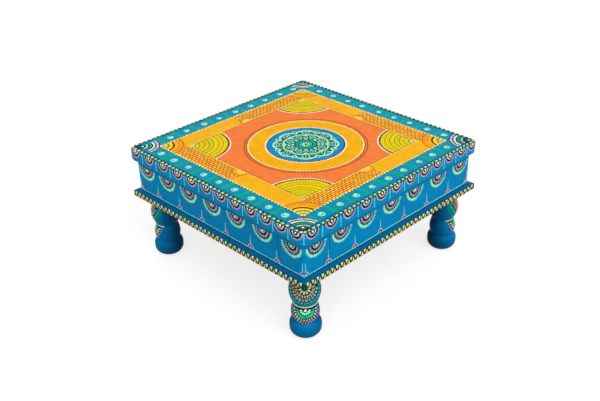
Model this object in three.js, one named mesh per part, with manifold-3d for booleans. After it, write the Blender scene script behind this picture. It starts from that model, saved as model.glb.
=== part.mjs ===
// A low square table: a thick board top on a shallow framed box, which stands on four turned legs.
// The legs run up as square posts to the underside of the top, and the apron boards are tenoned into them.
// Millimetres, +Z up. The origin is on the floor, under the middle of the table.

import * as THREE from 'three';
import { mergeVertices } from 'three/addons/utils/BufferGeometryUtils.js';
import Module from 'manifold-3d';

const wasm = await Module();
wasm.setup();

// Driving dimensions
const tableHeight = 152;
const topWidth = 305;
const topThickness = 17.5;
const topOverhang = 7.5;
const apronHeight = 51;
const apronThickness = 12;
const postWidth = 39;
const mouldingHeight = 8;
const mouldingProjection = 6.5;

// Clearances that every joint shares
const glueLine = 0.2;
const fitClearance = 0.3;
const cutOverrun = 1;

// Heights and half widths that follow from them
const boxHalf = topWidth / 2 - topOverhang;
const boxTop = tableHeight - topThickness - glueLine;
const boxBottom = boxTop - apronHeight;
const legOffset = boxHalf - postWidth / 2;
const sides = ['front', 'right', 'back', 'left'];
const corners = ['front_right', 'back_right', 'back_left', 'front_left'];

// Joining and cutting

function toSolid(geometry) {
  const bare = geometry.clone();
  bare.deleteAttribute('normal');
  bare.deleteAttribute('uv');
  const merged = mergeVertices(bare);
  const vertProperties = new Float32Array(merged.attributes.position.array);
  const triVerts = new Uint32Array(merged.index.array);
  return new wasm.Manifold(new wasm.Mesh({ numProp: 3, vertProperties, triVerts }));
}

function toGeometry(solid) {
  const mesh = solid.getMesh();
  const geometry = new THREE.BufferGeometry();
  geometry.setAttribute('position', new THREE.BufferAttribute(new Float32Array(mesh.vertProperties), 3));
  geometry.setIndex(new THREE.BufferAttribute(new Uint32Array(mesh.triVerts), 1));
  geometry.computeVertexNormals();
  return geometry;
}

// A block centred on x and y that stands on height z
function block(width, depth, height, x, y, z) {
  const geometry = new THREE.BoxGeometry(width, depth, height);
  geometry.translate(x, y, z + height / 2);
  return toSolid(geometry);
}

// A turned shape about the Z axis, from [radius, height] points listed from the bottom up
function turned(points, segments) {
  const geometry = new THREE.LatheGeometry(points.map(([r, z]) => new THREE.Vector2(r, z)), segments);
  geometry.rotateX(Math.PI / 2);
  return geometry;
}

function paintedMesh(name, geometry, color, roughness, metalness) {
  const material = new THREE.MeshStandardMaterial({ color, roughness, metalness });
  const mesh = new THREE.Mesh(geometry, material);
  mesh.name = name;
  return mesh;
}

// Wood screws: a countersunk slotted head, a plain shank and a point.
// A screw lies along +Z from the face of its head, which is at zero.

const screwShankRadius = 1.75;
const screwHeadRadius = 3.5;
const screwHeadHeight = 2.3;
const screwPointLength = 3.5;
const screwSlotWidth = 0.9;
const screwSlotDepth = 1.1;
const screwSegments = 12;

function screwGeometry(length) {
  const outline = [
    [0, 0],
    [screwHeadRadius, 0],
    [screwShankRadius, screwHeadHeight],
    [screwShankRadius, length - screwPointLength],
    [0, length],
  ];
  const slot = block(
    2 * (screwHeadRadius + cutOverrun), screwSlotWidth, screwSlotDepth + cutOverrun, 0, 0, -cutOverrun,
  );
  return toGeometry(toSolid(turned(outline, screwSegments)).subtract(slot));
}

// The hole that a screw fills, with its countersink, as a geometry to be placed where the screw is
function screwHole(length) {
  const rim = screwHeadRadius + fitClearance;
  const wall = screwShankRadius + fitClearance;
  return turned([
    [0, -cutOverrun],
    [rim, -cutOverrun],
    [rim, 0],
    [wall, screwHeadHeight],
    [wall, length + fitClearance],
    [0, length + fitClearance],
  ], screwSegments);
}

// Top cleats: square strips inside the aprons. Each is screwed sideways to its apron and up into the top.

const cleatWidth = 14;
const cleatHeight = 14;
const cleatEndSpace = 16;
const woodOverScrew = 6.5;
const woodBeyondScrew = 4;
const upScrewShares = [-0.36, 0.36];
const sideScrewShares = [-0.2, 0.2];

const apronSpan = 2 * (boxHalf - postWidth - glueLine);
const cleatLength = apronSpan - 2 * cleatEndSpace;
const cleatFront = -boxHalf + apronThickness + glueLine;
const cleatMiddle = cleatFront + cleatWidth / 2;
const cleatBottom = boxTop - cleatHeight;
const upScrewLength = cleatHeight + glueLine + topThickness - woodOverScrew;
const sideScrewLength = cleatWidth + glueLine + apronThickness - woodBeyondScrew;

// An upright screw as it stands in the front cleat
function placeUpScrew(geometry, share) {
  return geometry.translate(share * cleatLength, cleatMiddle, cleatBottom);
}

// A level screw, its head on the inner face of the front cleat and its point in the apron
function placeSideScrew(geometry, share) {
  geometry.rotateX(Math.PI / 2);
  return geometry.translate(share * cleatLength, cleatFront + cleatWidth, cleatBottom + cleatHeight / 2);
}

function cleatGeometry() {
  let solid = block(cleatLength, cleatWidth, cleatHeight, 0, cleatMiddle, cleatBottom);
  for (const share of upScrewShares) {
    solid = solid.subtract(toSolid(placeUpScrew(screwHole(upScrewLength), share)));
  }
  for (const share of sideScrewShares) {
    solid = solid.subtract(toSolid(placeSideScrew(screwHole(sideScrewLength), share)));
  }
  return toGeometry(solid);
}

// Base moulding: four mitred strips glued and pinned round the foot of the box.
// The face is upright, the top falls a little towards it, and the inner side lies on the box.

const mouldingRise = 1.2;
const mitreGap = 0.3;
const pinRadius = 0.8;
const pinHeadRadius = 1.2;
const pinHeadHeight = 0.6;
const pinSet = 0.5;
const pinPointLength = 1.5;
const woodBeyondPin = 3;
const pinSegments = 8;
const pinShares = [-0.3, 0, 0.3];

const mouldingBack = boxHalf + glueLine;
const mouldingFace = mouldingBack + mouldingProjection;
const pinHeight = boxBottom + mouldingHeight / 2;
const pinLength = mouldingProjection - pinSet + glueLine + apronThickness - woodBeyondPin;

function mouldingStrip() {
  const section = new THREE.Shape();
  section.moveTo(mouldingBack, boxBottom);
  section.lineTo(mouldingBack, boxBottom + mouldingHeight + mouldingRise);
  section.lineTo(mouldingFace, boxBottom + mouldingHeight);
  section.lineTo(mouldingFace, boxBottom);
  const geometry = new THREE.ExtrudeGeometry(section, { depth: 1, bevelEnabled: false });
  const position = geometry.attributes.position;
  for (let i = 0; i < position.count; i += 1) {
    const out = position.getX(i);
    const height = position.getY(i);
    const end = position.getZ(i) > 0 ? -1 : 1;
    position.setXYZ(i, end * (out - mitreGap / 2), -out, height);
  }
  return geometry;
}

// A pin lies along +Z from its head, and goes in level from the face of the moulding
function placePin(geometry, share) {
  geometry.rotateX(-Math.PI / 2);
  return geometry.translate(share * 2 * boxHalf, pinSet - mouldingFace, pinHeight);
}

function pinGeometry() {
  return turned([
    [0, 0],
    [pinHeadRadius, 0],
    [pinHeadRadius, pinHeadHeight],
    [pinRadius, pinHeadHeight],
    [pinRadius, pinLength - pinPointLength],
    [0, pinLength],
  ], pinSegments);
}

function pinHole() {
  const mouth = pinHeadRadius + fitClearance;
  const wall = pinRadius + fitClearance;
  return turned([
    [0, -pinSet - cutOverrun],
    [mouth, -pinSet - cutOverrun],
    [mouth, pinHeadHeight + fitClearance],
    [wall, pinHeadHeight + fitClearance],
    [wall, pinLength + fitClearance],
    [0, pinLength + fitClearance],
  ], pinSegments);
}

function mouldingGeometry() {
  let solid = toSolid(mouldingStrip());
  for (const share of pinShares) {
    solid = solid.subtract(toSolid(placePin(pinHole(), share)));
  }
  return toGeometry(solid);
}

// Apron boards, flush with the posts, with a stub tenon at each end

const tenonThickness = 6;
const tenonHeight = 34;
const tenonLength = 18;

const apronMiddle = -boxHalf + apronThickness / 2;
const tenonBottom = boxBottom + (apronHeight - tenonHeight) / 2;

function apronGeometry() {
  const board = block(apronSpan, apronThickness, apronHeight, 0, apronMiddle, boxBottom);
  const tenonReach = apronSpan + 2 * tenonLength;
  const tenons = block(tenonReach, tenonThickness, tenonHeight, 0, apronMiddle, tenonBottom);
  let solid = board.add(tenons);
  for (const share of sideScrewShares) {
    solid = solid.subtract(toSolid(placeSideScrew(screwHole(sideScrewLength), share)));
  }
  for (const share of pinShares) {
    solid = solid.subtract(toSolid(placePin(pinHole(), share)));
  }
  return toGeometry(solid);
}

// Legs: a square head that is the corner post of the box, and below it a turned ball, barrel and foot.
// Heights along the turning are shares of its whole height.

const ballRadius = 18.2;
const barrelRadius = 16.2;
const footRadius = 18.4;
const headNeckRadius = 12.5;
const creaseRadius = 13.3;
const grooveRadius = 14.6;
const footFlatRadius = 6.5;
const shoulderHeight = 4;
const shoulderReachShare = 0.72;
const ballTopShare = 0.935;
const creaseShare = 0.526;
const grooveShare = 0.266;
const footTopShare = 0.185;
const footRoundShare = 0.132;
const footSwellShare = 0.25;
const legSegments = 28;
const ballSteps = 9;
const barrelSteps = 6;
const footSteps = 6;

// Points from one place on the outline to the next, swelling outwards by a bulge in the middle
function swelling(start, end, bulge, steps) {
  const points = [];
  for (let i = 0; i < steps; i += 1) {
    const along = i / steps;
    const radius = start[0] + (end[0] - start[0]) * along + bulge * Math.sin(Math.PI * along);
    points.push([radius, start[1] + (end[1] - start[1]) * along]);
  }
  return points;
}

function legOutline() {
  const footFlat = [footFlatRadius, 0];
  const footTop = [footRadius, boxBottom * footTopShare];
  const groove = [grooveRadius, boxBottom * grooveShare];
  const crease = [creaseRadius, boxBottom * creaseShare];
  const ballTop = [headNeckRadius, boxBottom * ballTopShare];
  const footRound = boxBottom * footRoundShare;
  const points = [[0, 0], footFlat];
  for (let i = 1; i <= footSteps; i += 1) {
    const angle = (i / footSteps) * (Math.PI / 2);
    const radius = footFlatRadius + (footRadius - footFlatRadius) * Math.sin(angle);
    points.push([radius, footRound * (1 - Math.cos(angle))]);
  }
  points.push(...swelling(footTop, groove, (footRadius - grooveRadius) * footSwellShare, footSteps));
  points.push(...swelling(groove, crease, barrelRadius - (grooveRadius + creaseRadius) / 2, barrelSteps));
  points.push(...swelling(crease, ballTop, ballRadius - (creaseRadius + headNeckRadius) / 2, ballSteps));
  points.push(ballTop);
  points.push([headNeckRadius, boxBottom + shoulderHeight]);
  points.push([0, boxBottom + shoulderHeight]);
  return points;
}

// The mortise for the apron that comes to this post from the left
function mortise() {
  const depth = tenonLength + fitClearance;
  const width = tenonThickness + 2 * fitClearance;
  const height = tenonHeight + 2 * fitClearance;
  const x = (depth - postWidth - cutOverrun) / 2;
  const y = (apronThickness - postWidth) / 2;
  return block(depth + cutOverrun, width, height, x, y, tenonBottom - fitClearance);
}

// The same mortise turned to the next apron round the table
function nextMortise() {
  const depth = tenonLength + fitClearance;
  const width = tenonThickness + 2 * fitClearance;
  const height = tenonHeight + 2 * fitClearance;
  const x = (postWidth - apronThickness) / 2;
  const y = (postWidth + cutOverrun - depth) / 2;
  return block(width, depth + cutOverrun, height, x, y, tenonBottom - fitClearance);
}

function legGeometry() {
  const shoulder = toSolid(turned([
    [0, boxBottom],
    [postWidth / 2, boxBottom],
    [postWidth * shoulderReachShare, boxBottom + shoulderHeight],
    [postWidth * shoulderReachShare, boxTop + cutOverrun],
    [0, boxTop + cutOverrun],
  ], legSegments));
  const head = block(postWidth, postWidth, apronHeight, 0, 0, boxBottom).intersect(shoulder);
  const leg = head.add(toSolid(turned(legOutline(), legSegments)));
  return toGeometry(leg.subtract(mortise()).subtract(nextMortise()));
}

// Top: one thick board with rounded corners and softened edges, bored from below for the cleat screws

const topCornerRadius = 9;
const topEdgeRound = 3;
const topCornerSteps = 6;
const topEdgeSteps = 3;

function topGeometry() {
  const half = topWidth / 2 - topEdgeRound;
  const radius = topCornerRadius - topEdgeRound;
  const outline = new THREE.Shape();
  outline.absarc(half - radius, half - radius, radius, 0, Math.PI / 2);
  outline.absarc(radius - half, half - radius, radius, Math.PI / 2, Math.PI);
  outline.absarc(radius - half, radius - half, radius, Math.PI, Math.PI * 1.5);
  outline.absarc(half - radius, radius - half, radius, Math.PI * 1.5, Math.PI * 2);
  const geometry = new THREE.ExtrudeGeometry(outline, {
    depth: topThickness - 2 * topEdgeRound,
    curveSegments: topCornerSteps,
    bevelThickness: topEdgeRound,
    bevelSize: topEdgeRound,
    bevelSegments: topEdgeSteps,
  });
  geometry.translate(0, 0, tableHeight - topThickness + topEdgeRound);
  let solid = toSolid(geometry);
  for (let quarter = 0; quarter < sides.length; quarter += 1) {
    for (const share of upScrewShares) {
      const hole = placeUpScrew(screwHole(upScrewLength), share);
      hole.rotateZ(quarter * Math.PI / 2);
      solid = solid.subtract(toSolid(hole));
    }
  }
  return toGeometry(solid);
}

// Putting the table together: one quarter of the frame, turned to each side, and the top over it

const paintBlue = 0x0f78b4;
const topOrange = 0xf3a22c;
const bareWood = 0xb98d5c;
const steel = 0x9a9a96;

function quarterFrame(side, corner) {
  const group = new THREE.Group();
  group.add(paintedMesh(`apron_${side}`, apronGeometry(), paintBlue, 0.5, 0));
  group.add(paintedMesh(`moulding_${side}`, mouldingGeometry(), paintBlue, 0.5, 0));
  group.add(paintedMesh(`cleat_${side}`, cleatGeometry(), bareWood, 0.8, 0));
  const leg = paintedMesh(`leg_${corner}`, legGeometry(), paintBlue, 0.45, 0);
  leg.position.set(legOffset, -legOffset, 0);
  group.add(leg);
  upScrewShares.forEach((share, i) => {
    const geometry = placeUpScrew(screwGeometry(upScrewLength), share);
    group.add(paintedMesh(`top_screw_${side}_${i + 1}`, geometry, steel, 0.35, 1));
  });
  sideScrewShares.forEach((share, i) => {
    const geometry = placeSideScrew(screwGeometry(sideScrewLength), share);
    group.add(paintedMesh(`cleat_screw_${side}_${i + 1}`, geometry, steel, 0.35, 1));
  });
  pinShares.forEach((share, i) => {
    const geometry = placePin(pinGeometry(), share);
    group.add(paintedMesh(`moulding_pin_${side}_${i + 1}`, geometry, steel, 0.35, 1));
  });
  return group;
}

const table = new THREE.Group();
table.add(paintedMesh('top_board', topGeometry(), topOrange, 0.5, 0));
sides.forEach((side, quarter) => {
  const frame = quarterFrame(side, corners[quarter]);
  frame.rotation.z = quarter * Math.PI / 2;
  table.add(frame);
});

export default table;
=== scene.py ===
import math
import random
from functools import partialmethod

import bmesh
import bpy
from mathutils import Matrix, Vector


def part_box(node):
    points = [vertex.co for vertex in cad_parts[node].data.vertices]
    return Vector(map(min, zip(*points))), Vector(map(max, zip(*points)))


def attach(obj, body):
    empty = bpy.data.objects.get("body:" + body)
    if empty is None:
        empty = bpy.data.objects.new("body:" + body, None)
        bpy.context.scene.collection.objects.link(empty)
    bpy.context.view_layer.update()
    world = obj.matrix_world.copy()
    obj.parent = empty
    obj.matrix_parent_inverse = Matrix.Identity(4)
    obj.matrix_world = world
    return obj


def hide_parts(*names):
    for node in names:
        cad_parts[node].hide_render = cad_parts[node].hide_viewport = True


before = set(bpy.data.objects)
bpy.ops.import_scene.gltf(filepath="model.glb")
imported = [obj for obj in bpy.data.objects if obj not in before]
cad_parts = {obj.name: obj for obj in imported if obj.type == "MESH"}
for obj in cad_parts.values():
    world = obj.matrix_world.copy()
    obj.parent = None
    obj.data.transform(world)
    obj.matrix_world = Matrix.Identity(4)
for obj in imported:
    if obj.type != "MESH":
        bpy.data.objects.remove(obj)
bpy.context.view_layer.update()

# The photograph's view: above the table and level with one corner, so that two sides and the top show.
# The camera was fitted to the edges of the table, in the photograph's own pixels. Sizes in this file are
# in millimetres, and MM makes them Blender's metres where a mesh or a place is made.
MM = 0.001
PHOTO_WIDTH, PHOTO_HEIGHT = 600, 401
LENS_CENTRE_PIXEL = (304.25, 202.1)
FOCAL_PIXELS = 854.1
SENSOR_WIDTH = 36
VIEW_TURN, VIEW_RISE, VIEW_ROLL = math.radians(45.55), math.radians(29.48), -0.0243
VIEW_DISTANCE = 1087.6
VIEW_TARGET = Vector((0, 0, 68.6))


def add_object(name, data):
    thing = bpy.data.objects.new(name, data)
    bpy.context.scene.collection.objects.link(thing)
    return thing


table_view = add_object("table_view", bpy.data.cameras.new("table_view"))
bpy.context.scene.camera = table_view
table_view.data.sensor_width = SENSOR_WIDTH
table_view.data.lens = FOCAL_PIXELS * SENSOR_WIDTH / PHOTO_WIDTH
table_view.data.shift_x = (PHOTO_WIDTH / 2 - LENS_CENTRE_PIXEL[0]) / PHOTO_WIDTH
table_view.data.shift_y = (LENS_CENTRE_PIXEL[1] - PHOTO_HEIGHT / 2) / PHOTO_WIDTH
level = Vector((math.sin(VIEW_TURN), -math.cos(VIEW_TURN), 0))
towards_camera = math.cos(VIEW_RISE) * level + Vector((0, 0, math.sin(VIEW_RISE)))
view_axes = towards_camera.to_track_quat("Z", "Y").to_matrix() @ Matrix.Rotation(VIEW_ROLL, 3, "Z")
view_place = (VIEW_TARGET + towards_camera * VIEW_DISTANCE) * MM
table_view.matrix_world = Matrix.Translation(view_place) @ view_axes.to_4x4()

# A white studio: soft light from all round, and one broad lamp over the right shoulder of the camera.
# The floor is white card, which keeps the table's soft shadow.
FLOOR_REACH = 4000
LAMP_FROM = Vector((0.68, -0.4, 0.62))
LAMP_POWER, LAMP_SPREAD = 2.5, math.radians(70)
SKY_LIGHT, WALL_LIGHT, CARD_LIFT = 0.5, 1.0, 0.74
CARD_DARK, CARD_PALE = (0.31, 0.31, 0.31, 1), (0.34, 0.34, 0.34, 1)
PURE_WHITE = (1, 1, 1, 1)


def add_node(tree, kind, inputs=(), **settings):
    """A node with its settings and inputs. An input is a plain value, or a socket or field to link from."""
    node = tree.nodes.new(kind)
    for name, value in settings.items():
        setattr(node, name, value)
    for socket, value in dict(inputs).items():
        value = getattr(value, "socket", value)
        if isinstance(value, bpy.types.NodeSocket):
            tree.links.new(value, node.inputs[socket])
        else:
            node.inputs[socket].default_value = value
    return node


class Field:
    """A number that varies over a surface. Sums and comparisons with it become Math nodes of its tree."""

    def __init__(self, socket):
        self.socket = socket

    def node(self, kind, second, third=0.0, **settings):
        inputs = {0: self, 1: second, 2: third}
        return add_node(self.socket.id_data, kind, inputs, **settings)

    def math(self, operation, second=0.0, third=0.0):
        return Field(self.node("ShaderNodeMath", second, third, operation=operation).outputs[0])

    def ramp(self, low, high, first=0.0, last=1.0, interpolation="LINEAR"):
        """Goes from the first number to the last while the field goes from low to high."""
        node = self.node("ShaderNodeMapRange", low, high, interpolation_type=interpolation)
        node.inputs[3].default_value = first
        node.inputs[4].default_value = last
        return Field(node.outputs[0])

    def __rsub__(self, other):
        return self.math("MULTIPLY_ADD", -1.0, other)

    __add__ = partialmethod(math, "ADD")
    __sub__ = partialmethod(math, "SUBTRACT")
    __mul__ = partialmethod(math, "MULTIPLY")
    __lt__ = partialmethod(math, "LESS_THAN")
    __gt__ = partialmethod(math, "GREATER_THAN")
    __abs__ = partialmethod(math, "ABSOLUTE")
    max = partialmethod(math, "MAXIMUM")
    min = partialmethod(math, "MINIMUM")


def mix(tree, share, first, second, blend="MIX"):
    return add_node(tree, "ShaderNodeMixRGB", {0: share, 1: first, 2: second}, blend_type=blend).outputs[0]


def blank_finish(name):
    material = bpy.data.materials.new(name)
    material.use_nodes = True
    material.node_tree.nodes.clear()
    return material


def seen_ray(tree):
    """1 for what the camera sees, straight on, in a shine or through glass, and 0 for plain light."""
    path = add_node(tree, "ShaderNodeLightPath").outputs
    return Field(path["Is Camera Ray"]).max(path["Is Glossy Ray"]).max(path["Is Transmission Ray"])


studio = bpy.data.worlds.new("studio")
bpy.context.scene.world = studio
studio.use_nodes = True
sky = studio.node_tree
sky.nodes.clear()
soft_light, white_wall = (
    add_node(sky, "ShaderNodeBackground", {"Color": PURE_WHITE, "Strength": strength}).outputs[0]
    for strength in (SKY_LIGHT, WALL_LIGHT)
)
studio_mix = add_node(sky, "ShaderNodeMixShader", {0: seen_ray(sky), 1: soft_light, 2: white_wall})
add_node(sky, "ShaderNodeOutputWorld", {"Surface": studio_mix.outputs[0]})

lamp = add_object("broad_lamp", bpy.data.lights.new("broad_lamp", "SUN"))
lamp.data.energy = LAMP_POWER
lamp.data.angle = LAMP_SPREAD
lamp.rotation_euler = LAMP_FROM.to_track_quat("Z", "Y").to_euler()

card = blank_finish("white_card")
card_tree = card.node_tree
card_grain = add_node(card_tree, "ShaderNodeTexNoise", {"Scale": 300.0}).outputs["Fac"]
card_colour = mix(card_tree, card_grain, CARD_DARK, CARD_PALE)
card_face = add_node(card_tree, "ShaderNodeBsdfDiffuse", {"Color": card_colour})
card_lift = add_node(card_tree, "ShaderNodeEmission", {
    "Color": PURE_WHITE, "Strength": seen_ray(card_tree) * CARD_LIFT,
})
card_sum = add_node(card_tree, "ShaderNodeAddShader", {0: card_face.outputs[0], 1: card_lift.outputs[0]})
add_node(card_tree, "ShaderNodeOutputMaterial", {"Surface": card_sum.outputs[0]})

floor_mesh = bpy.data.meshes.new("studio_floor")
floor_corners = [(x, y, 0) for x, y in ((-1, -1), (1, -1), (1, 1), (-1, 1))]
floor_mesh.from_pydata([Vector(corner) * FLOOR_REACH * MM for corner in floor_corners], [], [(0, 1, 2, 3)])
floor_mesh.materials.append(card)
studio_floor = add_object("studio_floor", floor_mesh)

# Apron boards: four planed boards, tenoned into the posts to make the box under the top.
# They are brushed blue outside, in strokes along the board, and left as bare wood inside.
SIDES, RUNS = ("front", "right", "back", "left"), "xyxy"
apron_low, apron_high = (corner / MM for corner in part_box("apron_front"))
BOX_HALF = -apron_low.y
BOX_BOTTOM, BOX_TOP = apron_low.z, apron_high.z
APRON_THICKNESS = apron_high.y - apron_low.y
MASK_EASE, BRUSH_RELIEF, GRAIN_RELIEF = 0.1, 0.12, 0.15
STROKES_ALONG = {"x": (14, 260, 260), "y": (260, 14, 260), "z": (200, 200, 16), "top": (120, 120, 120)}
GRAIN_ALONG = {"x": (6, 90, 90), "y": (90, 6, 90), "z": (90, 90, 6), "top": (6, 90, 90)}


def paint(red, green, blue):
    """A colour as read from a paint chart, 0 to 255, in the linear light that materials use."""
    chart = (red / 255, green / 255, blue / 255)
    return tuple(((c + 0.055) / 1.055) ** 2.4 if c > 0.04 else c / 12.92 for c in chart) + (1.0,)


SIDE_BLUE = paint(0, 135, 189)
BARE_WOOD_PALE, BARE_WOOD_DARK, PORE_BROWN = paint(196, 152, 104), paint(150, 103, 62), paint(92, 58, 34)
THINNER_COAT, THICKER_COAT = (1.0, 1.14, 1.08, 1), (0.86, 0.86, 0.9, 1)
FINISH = {"Color": "Color", "Roughness": "Float", "Height": "Float"}
PAINT_SHINE = {"Specular IOR Level": 0.03}


def new_tree(kind, name, inputs, outputs):
    """An empty tree for several pieces to share, with its named inputs and outputs, and its input sockets."""
    tree = bpy.data.node_groups.new(name, kind)
    for way, sockets in (("INPUT", inputs), ("OUTPUT", outputs)):
        for socket, holds in sockets.items():
            tree.interface.new_socket(socket, in_out=way, socket_type="NodeSocket" + holds)
    return tree, add_node(tree, "NodeGroupInput").outputs


def own_place(tree):
    return add_node(tree, "ShaderNodeTexCoord").outputs["Object"]


def noise(tree, scale, detail, stretch=(1, 1, 1)):
    """Noise on the piece's own coordinates, drawn out along the axes where stretch is small."""
    drawn = add_node(tree, "ShaderNodeVectorMath", {0: own_place(tree), 1: stretch}, operation="MULTIPLY")
    settings = {"Vector": drawn.outputs[0], "Scale": scale, "Detail": detail}
    return Field(add_node(tree, "ShaderNodeTexNoise", settings).outputs["Fac"])


brushed_paint, brushed_in = new_tree(
    "ShaderNodeTree", "brushed_paint", {"Paint": "Color", "Stroke": "Vector"}, FINISH,
)
strokes = noise(brushed_paint, 1.0, 4.0, brushed_in["Stroke"])
cloudy = noise(brushed_paint, 38.0, 4.0)
deeper = mix(brushed_paint, 1.0, brushed_in["Paint"], THICKER_COAT, "MULTIPLY")
paler = mix(brushed_paint, 1.0, brushed_in["Paint"], THINNER_COAT, "MULTIPLY")
stroked = mix(brushed_paint, strokes.ramp(0.35, 0.68), deeper, brushed_in["Paint"])
add_node(brushed_paint, "NodeGroupOutput", {
    "Color": mix(brushed_paint, cloudy.ramp(0.4, 0.75) * 0.6, stroked, paler),
    "Roughness": cloudy.ramp(0.3, 0.8, 0.36, 0.54),
    "Height": strokes * 0.8 + noise(brushed_paint, 900.0, 2.0) * 0.2,
})

bare_wood, bare_in = new_tree("ShaderNodeTree", "bare_wood", {"Grain": "Vector"}, FINISH)
rings = (noise(bare_wood, 1.0, 3.0, bare_in["Grain"]) * 9.0).math("PINGPONG", 1.0)
pores = noise(bare_wood, 9.0, 2.0, bare_in["Grain"])
grain_colour = mix(bare_wood, rings, BARE_WOOD_PALE, BARE_WOOD_DARK)
add_node(bare_wood, "NodeGroupOutput", {
    "Color": mix(bare_wood, pores.ramp(0.56, 0.7, 0.0, 0.5), grain_colour, PORE_BROWN),
    "Roughness": pores.ramp(0.0, 1.0, 0.62, 0.9),
    "Height": rings - pores,
})


def finish_surface(material, colour, roughness, height, relief, shine=PAINT_SHINE):
    """Closes a finish: its colour, roughness and relief go to the one shader of the material."""
    tree = material.node_tree
    bump = add_node(tree, "ShaderNodeBump", {"Height": height, "Distance": relief * MM, "Strength": 1.0})
    surface = add_node(tree, "ShaderNodeBsdfPrincipled", {
        "Base Color": colour, "Roughness": roughness, "Normal": bump.outputs[0], **shine,
    })
    add_node(tree, "ShaderNodeOutputMaterial", {"Surface": surface.outputs[0]})


def wood_finish(tree, run):
    return add_node(tree, "ShaderNodeGroup", {"Grain": GRAIN_ALONG[run]}, node_tree=bare_wood).outputs


def painted_outside(name, colour, run, inside=None):
    """Brushed paint, and bare wood where the inside mask is 1. The colour and mask are made on its tree."""
    material = blank_finish(name)
    tree = material.node_tree
    inputs = {"Paint": colour(tree), "Stroke": STROKES_ALONG[run]}
    painted = add_node(tree, "ShaderNodeGroup", inputs, node_tree=brushed_paint).outputs
    mask = inside(tree) if inside else 0.0
    both = [mix(tree, mask, *pair) for pair in zip(painted, wood_finish(tree, run))]
    finish_surface(material, *both, BRUSH_RELIEF)
    return material


def separate(tree, vector):
    return [Field(axis) for axis in add_node(tree, "ShaderNodeSeparateXYZ", {0: vector}).outputs]


def coordinates(tree):
    """Where a point of the piece lies, in millimetres: across, back and up from under the table's middle."""
    return [axis * (1 / MM) for axis in separate(tree, own_place(tree))]


def plan_distances(tree):
    """How far a point lies from the middle planes of the table: the smaller and the larger of the two."""
    across, back, _ = (abs(axis) for axis in coordinates(tree))
    return across.min(back), across.max(back)


def coat(mesh, finish):
    mesh.materials.clear()
    mesh.materials.append(finish)


def inside_aprons(tree):
    return plan_distances(tree)[1] < BOX_HALF - APRON_THICKNESS + MASK_EASE


for side, run in zip(SIDES, RUNS):
    apron_blue = painted_outside("apron_blue_" + side, lambda tree: SIDE_BLUE, run, inside_aprons)
    coat(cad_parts["apron_" + side].data, apron_blue)

# Apron ornament: raised dots and strokes of thick paint, squeezed from a cone on to the dry blue ground.
# Seven half rounds hang in a row on each side, over small arches that stand on a twisted line.
WHITE, CREAM, BLACK = paint(250, 255, 244), paint(250, 242, 176), paint(8, 16, 28)
OLIVE, PINK, VIOLET = paint(214, 196, 120), paint(228, 156, 186), paint(170, 176, 228)
MINT, LIME = paint(156, 246, 208), paint(206, 250, 150)
SPRING, AQUA = paint(172, 250, 176), paint(112, 230, 230)
WORN = (0.78, 0.8, 0.84, 1)
FACT_KINDS = {1: ("FLOAT", "value"), 3: ("FLOAT_VECTOR", "vector"), 4: ("FLOAT_COLOR", "color")}
DAB_SIDES, DAB_SEED = 8, 3
DAB_RINGS = ((1.0, -0.3), (0.97, 0.25), (0.7, 0.75))
DAB_TAPER, STEP_AHEAD, CONE_RELIEF = 0.22, 0.05, 0.08
LINE_SHAKE = 220.0


def as_mesh(name, shape):
    mesh = bpy.data.meshes.new(name)
    shape.to_mesh(mesh)
    shape.free()
    return mesh


def skinned(name, loops, tip=None, unit=MM):
    """A closed solid through loops of points, from the first to the last, which may close in a tip."""
    shape = bmesh.new()
    rings = [[shape.verts.new(Vector(point) * unit) for point in loop] for loop in loops]
    last = rings[-1]
    for low, high in zip(rings, rings[1:]):
        for i in range(len(low)):
            shape.faces.new((low[i - 1], low[i], high[i], high[i - 1]))
    shape.faces.new(reversed(rings[0]))
    if tip is None:
        shape.faces.new(last)
    else:
        crown = shape.verts.new(Vector(tip) * unit)
        for i in range(len(last)):
            shape.faces.new((last[i - 1], last[i], crown))
    return as_mesh(name, shape)


def make_dab(name, outline):
    """One touch of the cone: a low closed dome over an outline one unit long and wide."""
    loops = [[(x * share, y * share, height) for x, y in outline] for share, height in DAB_RINGS]
    return bpy.data.objects.new(name, skinned(name, loops, tip=(0, 0, 1), unit=1.0))


dab_angles = [2 * math.pi * i / DAB_SIDES for i in range(DAB_SIDES)]
cone_dab = make_dab("cone_dab", [
    (math.cos(a) / 2, math.sin(a) / 2 * (1 + DAB_TAPER * math.cos(a))) for a in dab_angles
])


def attribute(tree, name, kind="FLOAT_VECTOR"):
    return add_node(tree, "GeometryNodeInputNamedAttribute", {"Name": name}, data_type=kind).outputs[0]


def close_tree(tree, geometry, cone_paint):
    whole = add_node(tree, "GeometryNodeRealizeInstances", {0: geometry})
    smooth = add_node(tree, "GeometryNodeSetShadeSmooth", {0: whole.outputs[0]})
    wet = add_node(tree, "GeometryNodeSetMaterial", {0: smooth.outputs[0], 2: cone_paint})
    add_node(tree, "NodeGroupOutput", {0: wet.outputs[0]})


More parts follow.
